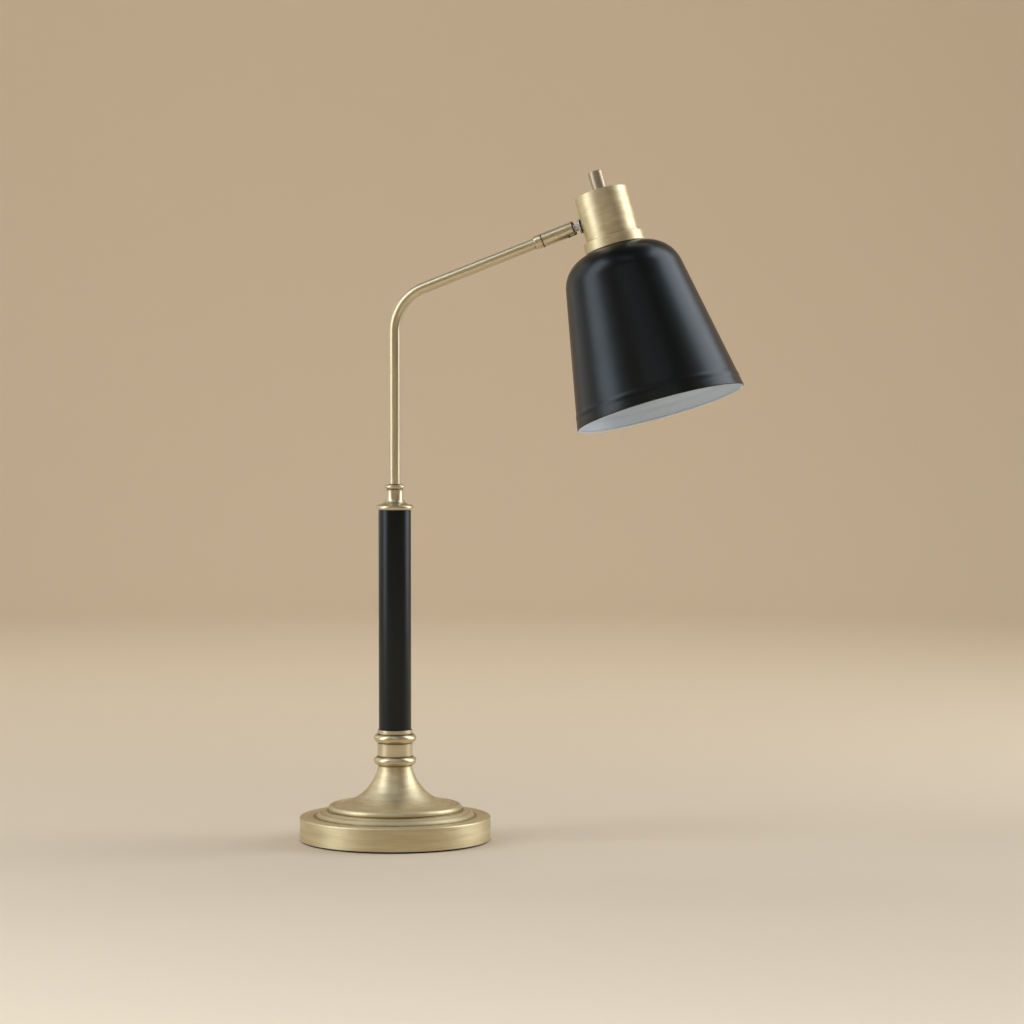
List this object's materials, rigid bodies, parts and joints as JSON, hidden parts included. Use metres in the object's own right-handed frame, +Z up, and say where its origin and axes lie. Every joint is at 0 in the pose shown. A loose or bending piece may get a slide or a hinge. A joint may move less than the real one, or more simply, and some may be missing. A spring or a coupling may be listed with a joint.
{
  "type": "desk lamp",
  "caption": "Dome shade desk lamp: weighted brass base, black column, bent brass arm, slotted ball swivel, socket cup with a turn knob and a conical black dome shade.",
  "frame": {"origin": "centre of the base's underside, on the table", "axes": "+Z up along the column; +X the way the arm reaches; +Y the side of the base that the cord leaves"},
  "size_m": [0.3851, 0.1737, 0.5763],
  "materials": {
    "felt": "dense black felt",
    "cast_iron": "rough cast, unpainted",
    "brass": "fine brushed and lacquered",
    "black_paint": "satin black, the shade's inside white",
    "black_plastic": "matte moulded",
    "steel": "zinc plated",
    "dark_steel": "blackened",
    "bearing_plastic": "matte moulded acetal",
    "nickel": "polished nickel plate",
    "white_plastic": "matte moulded",
    "ceramic": "unglazed white",
    "contact_brass": "plain stamped sheet",
    "bulb_glass": "frosted",
    "bulb_metal": "plain drawn sheet",
    "solder": "dull solder",
    "dark_nickel": "polished dark nickel plate"
  },
  "bodies": {
    "stand": {"felt_pad": "felt", "base_weight": "cast_iron", "base_shell": "brass", "cord_bushing": "black_plastic", "base_washer": "steel", "base_nut": "steel", "tie_rod": "steel", "neck_ring": "brass", "column_tube": "black_paint", "column_cap": "brass", "arm_tube": "brass", "swivel_collar": "brass", "swivel_clip": "steel"},
    "sleeve": {"swivel_sleeve": "brass", "backing_plug": "steel", "seat_springs": "steel", "ball_seat": "bearing_plastic"},
    "ball": {"ball_stem": "nickel", "friction_washer": "black_plastic", "inner_washer": "steel", "stem_nut": "steel"},
    "head": {"socket_cup": "brass", "collar_ring": "brass", "shade": "black_paint", "shade_ring": "white_plastic", "socket_bracket": "steel", "bracket_screws": "steel", "socket_body": "ceramic", "screw_shell": "contact_brass", "centre_contact": "contact_brass", "socket_leads": "white_plastic", "switch_body": "black_plastic", "switch_nut": "steel", "bulb_glass": "bulb_glass", "bulb_cap": "bulb_metal", "bulb_contact": "solder"},
    "knob": {"knob": "dark_nickel", "switch_shaft": "steel", "knob_screw": "dark_steel"}
  },
  "joints": [
    {"name": "sleeve_swivel", "type": "hinge", "parent": "stand", "child": "sleeve", "pos_m": [0.12959, 0, 0.5165], "axis": [0.933, 0, 0.36], "range_deg": [-165, 165]},
    {"name": "head_tilt", "type": "hinge", "parent": "sleeve", "child": "ball", "pos_m": [0.15272, 0, 0.52543], "axis": [0.0748, 0.9781, -0.194], "range_deg": [-29, 58]},
    {"name": "head_roll", "type": "hinge", "parent": "ball", "child": "head", "pos_m": [0.15272, 0, 0.52543], "axis": [0.9577, -0.0163, 0.2873], "range_deg": [-90, 90]},
    {"name": "knob_turn", "type": "hinge", "parent": "head", "child": "knob", "pos_m": [0.17852, 0.0017, 0.55686], "axis": [-0.2844, 0.0987, 0.9536], "continuous": true}
  ]
}
